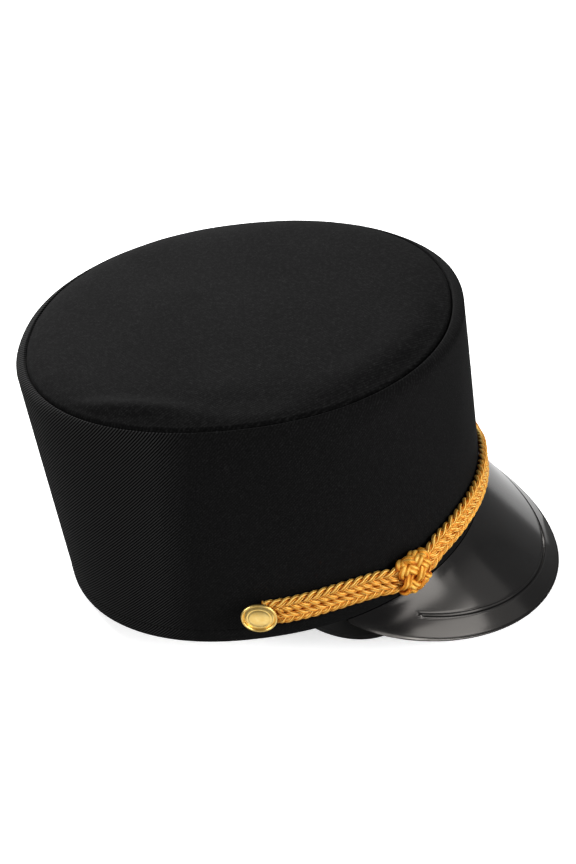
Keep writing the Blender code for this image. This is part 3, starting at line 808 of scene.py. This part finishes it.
class BraidRoute:
    """The path of the double braid along the wall, measured by its length from the front."""

    def __init__(self):
        limit = math.radians(BRAID_ROUTE[-1][0])
        self.angles = np.linspace(-limit, limit, 2000)
        lengths = run_along(wall_points(self.angles, self.height(self.angles)))
        self.lengths = lengths - np.interp(0.0, self.angles, lengths)
        button_angle = math.acos((BUTTON_FORWARD / (0.5 * RIM_LENGTH)) ** (0.5 * OUTLINE_POWER))
        self.button = float(self.distance(button_angle))
        self.knot = float(self.distance(KNOT_ANGLE))

    def height(self, angles):
        return CORD_HEIGHT * smooth_values(BRAID_ROUTE, np.degrees(angles))

    def distance(self, angle):
        return np.interp(angle, self.angles, self.lengths)

    def angle(self, distance):
        return np.interp(distance, self.lengths, self.angles)

    def outward(self, distance):
        angle = self.angle(distance)
        return wall_outward(angle, self.height(angle))

    def point(self, distance, out, up):
        angle = self.angle(distance)
        height = self.height(angle) + up
        return wall_points(angle, height) + np.asarray(out)[..., None] * wall_outward(angle, height)

    def lift(self, distance):
        """How far the braids' backs stand off the wall: further where a knot passes behind them."""
        beyond = np.abs(np.abs(distance) - self.knot) - 0.5 * KNOT_LENGTH
        return GAP + (KNOT_BACK + GAP) * (1.0 - smooth_step(beyond / (0.5 * KNOT_LENGTH) - 0.1))

    def thickness(self, distance):
        """Thickness of the braids, which are pressed flatter under the buttons."""
        free = BRAID_THICKNESS * smooth_values(BRAID_ROUTE, np.degrees(self.angle(distance)), 2)
        edge = 0.5 * BUTTON_DIAMETER
        share = smooth_step((self.button - np.abs(distance) - edge) / (0.15 * edge))
        return BRAID_UNDER_BUTTON + (free - BRAID_UNDER_BUTTON) * share


def yarn_section(width, thickness, fine):
    """Outline of a flat strand of two yarns laid side by side: across and out, going round."""
    pitch = width / 2.3
    centres = pitch * np.array([-0.5, 0.5])
    spread = 0.5 * pitch * np.linspace(-1.0, 1.0, fine + 1)
    across = np.concatenate([centres[0] + spread[:-1], centres[1] + spread])
    across[0], across[-1] = centres[0] - 0.62 * pitch, centres[-1] + 0.62 * pitch

    def height(x):
        each = 1.0 - ((x[:, None] - centres[None]) / (0.65 * pitch)) ** 2
        return 0.5 * thickness * np.sqrt(np.maximum(each.max(axis=1), 0.02))

    top = np.stack([across, height(across)], axis=1)
    bottom = np.stack([across[::-1], -height(across[::-1])], axis=1)
    return np.concatenate([top, bottom])


def yarn_arc(width, thickness, fine):
    """Length over one of a strand's two yarns, across its face."""
    section = yarn_section(width, thickness, fine)
    return 0.5 * float(run_along(section[:len(section) // 2])[-1])


def sweep(path, out, lean, section, flatten):
    """Sweep a section along a path. out is away from the wall and lean turns the section about the path."""
    along = unit(np.gradient(path, axis=0))
    normal = square_to(out, along)
    side = np.cross(normal, along)
    sine, cosine = np.sin(lean)[:, None], np.cos(lean)[:, None]
    normal, side = normal * cosine + side * sine, side * cosine - normal * sine
    across = section[None, :, 0, None] * side[:, None]
    outward = (section[None, :, 1] * flatten[:, None])[..., None] * normal[:, None]
    around = run_along(np.concatenate([section, section[:1]]))
    return path[:, None] + (across + outward), run_along(path)[:, None], around[None, :]


def braid(name, route, side, material):
    """Five flat strands plaited over and under. side is +1 for the upper braid and -1 for the lower."""
    end = route.button - 0.5 * SHANK_DIAMETER - GAP
    distance = np.linspace(-end, end, int(2 * end / BRAID_STEP))
    thickness = route.thickness(distance)
    middle = side * 0.5 * (BRAID_WIDTH + GAP)
    centre = route.point(distance, route.lift(distance) + 0.5 * thickness, middle)
    along = unit(np.gradient(centre, axis=0))
    out = square_to(route.outward(distance), along)
    up = np.cross(out, along)
    reach = 0.5 * (BRAID_WIDTH - STRAND_WIDTH) + STRAND_BULGE
    flatten = thickness / BRAID_THICKNESS
    depth = 0.5 * (BRAID_THICKNESS - STRAND_THICKNESS) * flatten
    section = yarn_section(*STRAND_SECTION)
    patches = []
    for k in range(BRAID_STRANDS):
        phase = 2 * np.pi * (distance / (BRAID_STRANDS * STITCH_PITCH) + k / BRAID_STRANDS)
        phase = phase + drift(PLAIT_PHASE, distance, k)
        across = reach * (1.0 + drift(PLAIT_REACH, distance, k)) * zigzag(phase)
        rise = side * depth * np.sin(2.0 * phase)
        path = centre + across[:, None] * up + rise[:, None] * out
        points, u, v = sweep(path, out, STRAND_LEAN * np.sin(phase), section, flatten)
        # how far each point stands out, for the gold's painted shade low down and painted highlight on top;
        # the braid's outer edges count as standing out
        from_middle = points - centre[:, None]
        proud_for_painted_light = (from_middle * out[:, None]).sum(axis=2) / (0.5 * thickness)[:, None]
        outermost = side * (from_middle * up[:, None]).sum(axis=2) / (0.5 * BRAID_WIDTH)
        proud_for_painted_light = np.maximum(proud_for_painted_light, smooth_step((outermost - 0.75) / 0.25))
        patches.append(Patch(points, u, v, wrap_columns=True, caps=True, proud_for_painted_light=proud_for_painted_light))
    return mesh_piece(name + "_strands", patches, material, [name])


def knot_ring(turns, size, weave=0.0, sunk=0.0):
    """Where a knot's ring lies: out from the wall, and up from the middle line between the braids."""
    back, front = GAP + 0.5 * KNOT_BACK, KNOT_PROUD - KNOT_INSET
    middle, half_out = 0.5 * (front + back), 0.5 * (front - back)
    out = middle + half_out * rounded(np.cos(turns), KNOT_ROUNDNESS) * size
    up = (0.5 * KNOT_HEIGHT - KNOT_INSET) * rounded(np.sin(turns), KNOT_ROUNDNESS) * size
    return np.maximum(out + weave * np.cos(turns) - sunk, back), up + weave * np.sin(turns)


def knot_core(route, side, reach):
    """A plain ring below the cords, which closes the small openings between them, and which the gold paints
    in full shade.
    """
    around = circle(72)
    rows = []
    for spot, smaller in KNOT_CORE:
        size = 1.0 - KNOT_TAPER * abs(spot) ** 3 - smaller
        out, up = knot_ring(around, size, sunk=KNOT_CORE_SUNK)
        distance = side * route.knot + spot * (reach + 0.3 * KNOT_CORD)
        rows.append(route.point(np.full(len(around), distance), out, up))
    u = np.linspace(0.0, KNOT_LENGTH, len(rows) + 1)[:, None]
    v = np.linspace(0.0, 2.0 * KNOT_HEIGHT, len(around) + 1)[None, :]
    points = np.stack(rows)
    # standing of zero everywhere: the gold paints the whole ring in its darkest painted shade
    return Patch(points, u, v, wrap_rows=True, wrap_columns=True, proud_for_painted_light=np.zeros(points.shape[:2]))


def knot(word, route, side, material):
    """A doubled cord woven several times round both braids, in and out of itself."""
    turns = KNOT_LEADS * 2 * np.pi * np.arange(KNOT_STEPS) / KNOT_STEPS
    phase = turns * KNOT_BIGHTS / KNOT_LEADS
    reach = 0.5 * KNOT_LENGTH - 0.95 * KNOT_CORD
    distance = side * route.knot + reach * zigzag(phase + 0.5 * np.pi, KNOT_SHARPNESS)
    behind = smooth_step((-np.cos(turns) - 0.35) / 0.3)
    weave = KNOT_WEAVE * np.sin((KNOT_LEADS - 1) * phase) * (1.0 - KNOT_CALM * behind)
    size = 1.0 - KNOT_TAPER * np.abs(np.cos(phase)) ** 3
    path = route.point(distance, *knot_ring(turns, size, weave))
    outward = route.outward(distance)
    upward = np.cross(outward, np.cross(np.array([0.0, 0.0, 1.0]), outward))
    normal = unit(np.cos(turns)[:, None] * outward + np.sin(turns)[:, None] * upward)
    # the path is closed, so two points more at each end give the same direction where the ends meet
    path, normal = (np.concatenate([row[-2:], row, row[:2]]) for row in (path, normal))
    flatten = np.concatenate([[1.0, 1.0], 1.0 - KNOT_PRESSED * behind, [1.0, 1.0]])
    section = yarn_section(*KNOT_SECTION)
    points, u, v = sweep(path, normal, 0.0 * flatten, section, flatten)
    # how far each point stands out, for the gold's painted shade and highlight
    proud_for_painted_light = (weave[:, None] + section[None, :, 1] * flatten[2:-2, None]) / (0.88 * KNOT_CORD)
    patches = [
        Patch(points[2:-2], u[2:-1], v, wrap_rows=True, wrap_columns=True, proud_for_painted_light=proud_for_painted_light),
        knot_core(route, side, reach),
    ]
    return mesh_piece("knot_" + word + "_cords", patches, material, ["knot_" + word])


# Buttons

def arc(centre, size, degrees, count):
    """Points along part of an ellipse."""
    turns = np.radians(np.linspace(*degrees, count))
    return np.array(centre) + np.array(size) * np.stack([np.cos(turns), np.sin(turns)], axis=1)


def button_profile():
    """Radius and height above the wall, from the shank's foot over the back to the middle of the face."""
    radius, shank = 0.5 * BUTTON_DIAMETER, 0.5 * SHANK_DIAMETER
    back = GAP + BRAID_UNDER_BUTTON + GAP
    face = back + BUTTON_THICKNESS
    edge, inner, corner = 0.5 * BUTTON_EDGE, radius - BUTTON_EDGE, BUTTON_ROUNDING
    r = np.linspace(inner - 0.0004, 0.0002, 34)
    from_ring = r - BUTTON_RING_AT * inner
    dome = face - BUTTON_SUNK + BUTTON_DOME * (1.0 - (r / inner) ** 2) ** 0.9
    dome = dome + ridge(from_ring, BUTTON_RING) + ridge(from_ring, BUTTON_RING_DIP)
    return np.concatenate([
        [(0.0002, GAP), (shank, GAP), (shank, back - 0.0002)],
        [(shank + 0.0003, back), (radius - 0.0008, back)],
        arc((radius - corner, back + corner), (corner, corner), (-90.0, 0.0), 7),
        arc((radius - edge, face - 0.0004), (edge, BUTTON_EDGE_RISE), (0.0, 180.0), 13),
        [(inner - 0.0001, face - BUTTON_SUNK)],
        np.stack([r, dome], axis=1),
    ])


def button(word, route, side, material):
    """Turned disc with a raised edge, a fine inner ring and a domed middle, on its shank."""
    profile = button_profile()
    radii, heights = profile.T[..., None]
    turns = circle(96)
    local = np.stack([radii * np.cos(turns), radii * np.sin(turns), heights + 0.0 * turns], axis=-1)
    angle = route.angle(side * route.button)
    height = route.height(angle)
    foot = wall_points(angle, height)
    upward = unit(wall_points(angle, height + WALL) - foot)
    across = unit(np.cross(upward, wall_outward(angle, height)))
    points = foot + local @ np.stack([across, upward, np.cross(across, upward)])
    u = np.append(turns, 2 * np.pi) * 0.5 * BUTTON_DIAMETER
    patch = Patch(points, u[None, :], run_along(profile)[:, None], wrap_columns=True, caps=True)
    return mesh_piece("button_" + word + "_gilt", [patch], material, ["button_" + word])


# Materials

WAVE_PERIOD = 0.314159      # a band texture of scale 1 repeats at this length
CREASE_PHASE = -0.5 * math.pi   # a band texture starts half way up, and a crease is its lowest line
RIB_SPACING = 0.0011
RIB_TURN = -50.0            # slant of the ribs on the side, in degrees
TOP_RIB_TURN = 20.0
# the side's ribs carry partly painted highlight, which fades with them
RIBS_FADE = (-0.066, -0.042)    # X between which the side's ribs grow faint towards the front
YARN_WINDING = 0.00042      # from one turn of the gold yarn's thread to the next
# The gold's colours run from the red-brown of painted shade, through the yarn's own gold, to the pale gold
# of painted highlight
GOLD_STOPS = (
    (0.10, (0.24, 0.024, 0.0005)),
    (0.38, (0.68, 0.205, 0.009)),
    (0.62, (0.93, 0.46, 0.050)),
    (0.88, (1.0, 0.70, 0.200)),
)
# Share of the gold's range in a crease between yarns and on a yarn, and what is taken off between strands,
# as painted shade
BRAID_TONES = (0.07, 0.60, 0.41)
KNOT_TONES = (0.10, 0.36, 0.28)


def grey(level):
    return (level, level, level)


class Recipe:
    """A material's node tree, with short ways to add and join nodes."""

    def __init__(self, name):
        self.material = bpy.data.materials.new(name)
        self.material.use_nodes = True
        self.tree = self.material.node_tree
        self.shader = self.tree.nodes["Principled BSDF"]
        self.surface = self.add("ShaderNodeUVMap").outputs["UV"]
        self.place = self.add("ShaderNodeTexCoord").outputs["Object"]

    def add(self, kind, sockets=(), **settings):
        """A new node with its settings. Each socket named gets a value, or a link where it is an output."""
        node = self.tree.nodes.new(kind)
        for key, value in settings.items():
            setattr(node, key, value)
        for key, value in dict(sockets).items():
            if isinstance(value, bpy.types.NodeSocket):
                self.tree.links.new(value, node.inputs[key])
            else:
                node.inputs[key].default_value = value
        return node

    def set(self, **values):
        for key, value in values.items():
            self.shader.inputs[key.replace("_", " ")].default_value = value

    def noise(self, scale, detail=2.0, roughness=0.5, where=None):
        sockets = {"Vector": where or self.place, "Scale": scale, "Detail": detail, "Roughness": roughness}
        return self.add("ShaderNodeTexNoise", sockets).outputs["Fac"]

    def turned(self, where, degrees, stretch=(1.0, 1.0, 1.0)):
        sockets = {"Vector": where, "Rotation": (0.0, 0.0, math.radians(degrees)), "Scale": stretch}
        return self.add("ShaderNodeMapping", sockets).outputs["Vector"]

    def bands(self, period, degrees, distortion=0.0, detail_scale=1.0, phase=0.0):
        """Straight bands of a sine, running across the surface's own X when degrees is 0."""
        sockets = {"Vector": self.turned(self.surface, degrees), "Scale": WAVE_PERIOD / period,
                   "Distortion": distortion, "Detail Scale": detail_scale, "Phase Offset": phase}
        return self.add("ShaderNodeTexWave", sockets).outputs["Fac"]

    def math(self, operation, a, b):
        return self.add("ShaderNodeMath", {0: a, 1: b}, operation=operation).outputs["Value"]

    def ramp(self, source, stops):
        node = self.add("ShaderNodeValToRGB", {"Fac": source})
        elements = node.color_ramp.elements
        while len(elements) < len(stops):
            elements.new(0.5)
        for element, (position, colour) in zip(elements, stops):
            element.position = position
            element.color = (*colour, 1.0)
        return node.outputs["Color"]

    def spread(self, source, low, high, start=0.0, stop=1.0):
        sockets = {"Value": source, "From Min": start, "From Max": stop, "To Min": low, "To Max": high}
        return self.add("ShaderNodeMapRange", sockets).outputs["Result"]

    def bump(self, height, distance, strength):
        sockets = {"Height": height, "Distance": distance, "Strength": strength}
        return self.add("ShaderNodeBump", sockets).outputs["Normal"]

    def finish(self, colour, roughness, normal):
        for key, source in (("Base Color", colour), ("Roughness", roughness), ("Normal", normal)):
            self.tree.links.new(source, self.shader.inputs[key])
        return self.material


def twill_material():
    """Ribbed twill of the side, whose ribs stand out most towards the back; their lighter lines are partly
    painted highlight.
    """
    r = Recipe("cap_twill")
    x = r.add("ShaderNodeSeparateXYZ", {"Vector": r.place}).outputs["X"]
    # the ribs' relief and their painted highlight fade from the back, where the left lamp grazes them,
    # towards the front
    strength = r.spread(x, 1.0, 0.05, *RIBS_FADE)
    ribs = r.spread(r.bands(RIB_SPACING, RIB_TURN, 0.35, 1.6), -1.05, 0.80, 0.34, 0.74)
    return finish_cloth(r, r.math("MULTIPLY", ribs, strength), 0.09, 1.0)


def top_twill_material():
    """The same cloth on the top disc, seen along its grain, so that it looks finer, and darkened as painted
    shade.
    """
    r = Recipe("cap_top_twill")
    ribs = r.spread(r.bands(RIB_SPACING, TOP_RIB_TURN, 0.35, 1.6), -0.07, 0.07)
    # 0.72 paints shade on the top: the same cloth is made darker because the lamp behind lights the top
    #                               strongly
    return finish_cloth(r, ribs, 0.34, 0.72)


def finish_cloth(r, ribs, mottling, shade):
    """Black cloth from its ribs, with fuzz and mottling; shade below 1 is painted shade, darkening its
    colour and dimming its sheen and gloss.
    """
    fuzz = r.spread(r.noise(1500.0, 3.0, 0.7), -0.38, 0.38)
    mottle = r.spread(r.noise(620.0, 3.0, 0.6), -mottling, mottling)
    broad = r.noise(28.0, 3.0)
    weave = r.math("ADD", r.math("ADD", ribs, 0.5), r.math("ADD", fuzz, mottle))
    middle = 0.0046 * shade
    colour = r.ramp(weave, [(0.0, grey(0.0004 * shade)), (0.5, (middle, middle, 1.02 * middle)),
                            (1.0, grey(0.0290 * shade))])
    r.set(Sheen_Weight=0.01 * shade, Sheen_Roughness=0.5, Specular_IOR_Level=0.05 * shade)
    return r.finish(colour, r.spread(broad, 0.80, 0.92), r.bump(weave, 0.00016, 0.7))


def thread_material():
    r = Recipe("hem_thread")
    twist = r.bands(0.0004, 35.0, 0.2)
    colour = r.ramp(twist, [(0.2, grey(0.0008)), (0.9, grey(0.003))])
    r.set(Specular_IOR_Level=0.05)
    return r.finish(colour, r.spread(twist, 0.75, 0.9), r.bump(twist, 0.00005, 0.5))


def vinyl_material():
    r = Recipe("cap_vinyl")
    broad = r.noise(14.0, 2.0)
    fine = r.noise(900.0, 2.0, 0.6)
    colour = r.ramp(broad, [(0.3, (0.0035, 0.0035, 0.0037)), (0.8, (0.007, 0.007, 0.0074))])
    roughness = r.spread(r.noise(60.0, 3.0), 0.13, 0.19)
    uneven = r.math("ADD", broad, r.math("MULTIPLY", fine, 0.02))
    r.set(Specular_IOR_Level=0.5, Specular_Tint=(1.0, 0.94, 0.88, 1.0))
    return r.finish(colour, roughness, r.bump(uneven, 0.0004, 0.25))


def leather_material():
    r = Recipe("cap_band_leather")
    sockets = {"Vector": r.surface, "Scale": 1100.0}
    cells = r.add("ShaderNodeTexVoronoi", sockets, feature="DISTANCE_TO_EDGE")
    grain = r.spread(cells.outputs["Distance"], 0.0, 1.0, 0.0, 0.35)
    patchy = r.noise(40.0, 3.0)
    colour = r.ramp(patchy, [(0.3, (0.003, 0.0029, 0.0028)), (0.8, (0.008, 0.0077, 0.0075))])
    r.set(Specular_IOR_Level=0.25)
    return r.finish(colour, r.spread(grain, 0.5, 0.34), r.bump(grain, 0.00006, 0.5))


def gold_material(name, arc, low, high, sunk):
    """Twisted gold yarn with painted shade, redder and darker, in the creases between yarns and between
    strands, and a paler painted highlight on its highest points.
    """
    r = Recipe(name)
    winding = r.bands(YARN_WINDING, 32.0, 0.6)
    # bands darkest in the groove between a strand's two yarns, which give the painted shade there
    painted_crease_shade = r.bands(arc, 90.0, phase=CREASE_PHASE)
    fine = r.noise(3000.0, 2.0, 0.6)
    patchy = r.noise(180.0, 3.0)
    # how far each point stands out, read back from the mesh for painted shade and highlight
    proud_for_painted_light = r.add("ShaderNodeAttribute", attribute_name="proud_for_painted_light").outputs["Fac"]
    mix = r.math("ADD", r.math("MULTIPLY", winding, 0.25), r.math("MULTIPLY", fine, 0.15))
    mix = r.math("ADD", mix, r.math("MULTIPLY", patchy, 0.15))
    # painted shade in the groove between the yarns
    mix = r.math("ADD", mix, r.spread(painted_crease_shade, low, high, 0.0, 0.55))
    # painted shade on low points between strands, painted highlight on the highest
    mix = r.math("ADD", mix, r.spread(proud_for_painted_light, -sunk, 0.08, 0.05, 0.95))
    r.set(Metallic=0.35, Specular_IOR_Level=0.25)
    return r.finish(r.ramp(mix, GOLD_STOPS), r.spread(fine, 0.38, 0.6), r.bump(winding, 0.00008, 0.6))


def gilt_material():
    r = Recipe("cap_gilt")
    haze = r.noise(500.0, 3.0, 0.6)
    brushed = r.noise(60.0, 3.0, 0.6, r.turned(r.surface, 0.0, (1.0, 60.0, 1.0)))
    colour = r.ramp(haze, [(0.3, (0.95, 0.62, 0.17)), (0.7, (1.0, 0.73, 0.27))])
    r.set(Metallic=1.0)
    return r.finish(colour, r.spread(brushed, 0.26, 0.40), r.bump(haze, 0.00002, 0.2))


def shown_and_unseen(tree, shown, unseen, output):
    """The camera sees one shader, and everything else is lit by the other."""
    path = tree.nodes.new("ShaderNodeLightPath")
    mix = tree.nodes.new("ShaderNodeMixShader")
    tree.links.new(path.outputs["Is Camera Ray"], mix.inputs["Fac"])
    tree.links.new(unseen.outputs[0], mix.inputs[1])
    tree.links.new(shown.outputs[0], mix.inputs[2])
    tree.links.new(mix.outputs["Shader"], tree.nodes[output].inputs["Surface"])


def floor_material():
    """White to the camera, and darker to everything else, so that the black cap keeps its depth."""
    r = Recipe("studio_floor")
    soft = r.noise(3.0, 2.0)
    r.set(Specular_IOR_Level=0.0, Emission_Color=(1.0, 1.0, 1.0, 1.0), Emission_Strength=0.62)
    r.finish(r.ramp(soft, [(0.0, grey(0.93)), (1.0, grey(0.96))]), r.spread(soft, 0.8, 0.9),
             r.bump(soft, 0.0001, 0.1))
    unseen = r.add("ShaderNodeBsdfDiffuse", {"Color": (*grey(FLOOR_UNSEEN), 1.0)})
    shown_and_unseen(r.tree, r.shader, unseen, "Material Output")
    return r.material


# Studio

def studio_floor(material):
    grid = np.linspace(-FLOOR_REACH, FLOOR_REACH, 9)
    y, x = np.meshgrid(grid, grid, indexing="ij")
    points = np.stack([x, y, 0.0 * x], axis=-1)
    vertex, _ = Patch(points, x, y).faces()
    mesh = bpy.data.meshes.new("floor")
    mesh.from_pydata(points.reshape(-1, 3).tolist(), [], vertex.tolist())
    mesh.materials.append(material)
    floor = add_object("floor", mesh)


def area_lamp(name, place, size, watts):
    """A rectangular lamp that the camera doesn't see, but that the gloss mirrors."""
    light = bpy.data.lights.new(name, "AREA")
    light.shape = "RECTANGLE"
    light.size, light.size_y = size
    light.energy = watts
    lamp = add_object(name, light)
    lamp.location = place
    lamp.visible_camera = False
    return lamp


def lights():
    for name, place, target, size, watts in LAMPS:
        lamp = area_lamp(name, place, size, watts)
        lamp.rotation_mode = "QUATERNION"
        lamp.rotation_quaternion = (Vector(target) - Vector(place)).to_track_quat("-Z", "Y")
    for name, middle, degrees, size, watts in FLOOR_CARDS:
        card = area_lamp(name, (*middle, CARD_HEIGHT), size, watts)
        card.rotation_euler = (math.pi, 0.0, math.radians(degrees))


def white_room():
    world = bpy.data.worlds.new("white_room")
    world.use_nodes = True
    unseen = world.node_tree.nodes["Background"]
    unseen.inputs["Color"].default_value = (1.0, 1.0, 1.0, 1.0)
    unseen.inputs["Strength"].default_value = ROOM_LIGHT
    shown = world.node_tree.nodes.new("ShaderNodeBackground")
    shown_and_unseen(world.node_tree, shown, unseen, "World Output")
    bpy.context.scene.world = world


def photo_camera():
    data = bpy.data.cameras.new("photo_camera")
    data.lens = CAMERA_LENS
    data.sensor_width = 36.0
    data.clip_start, data.clip_end = 0.05, 20.0
    camera = add_object("photo_camera", data)
    back = -Vector(CAMERA_LOOK).normalized()
    right = Vector(CAMERA_UP).cross(back).normalized()
    up = back.cross(right)
    camera.matrix_world = Matrix.Translation(CAMERA_AT) @ Matrix((right, up, back)).transposed().to_4x4()
    bpy.context.scene.camera = camera


def build():
    gilt = gilt_material()
    braid_gold = gold_material("cap_gold_braid", yarn_arc(*STRAND_SECTION), *BRAID_TONES)
    knot_gold = gold_material("cap_gold_knot", yarn_arc(*KNOT_SECTION), *KNOT_TONES)
    crown_side(twill_material())
    hem_stitches(thread_material())
    crown_top(top_twill_material())
    peak(vinyl_material())
    sweatband(leather_material())
    route = BraidRoute()
    for name, side in (("cord_upper", 1), ("cord_lower", -1)):
        braid(name, route, side, braid_gold)
    for word, side in (("right", -1), ("left", 1)):
        knot(word, route, side, knot_gold)
        button(word, route, side, gilt)
    studio_floor(floor_material())
    white_room()
    lights()
    photo_camera()
    bpy.context.scene.view_settings.view_transform = "Standard"


build()
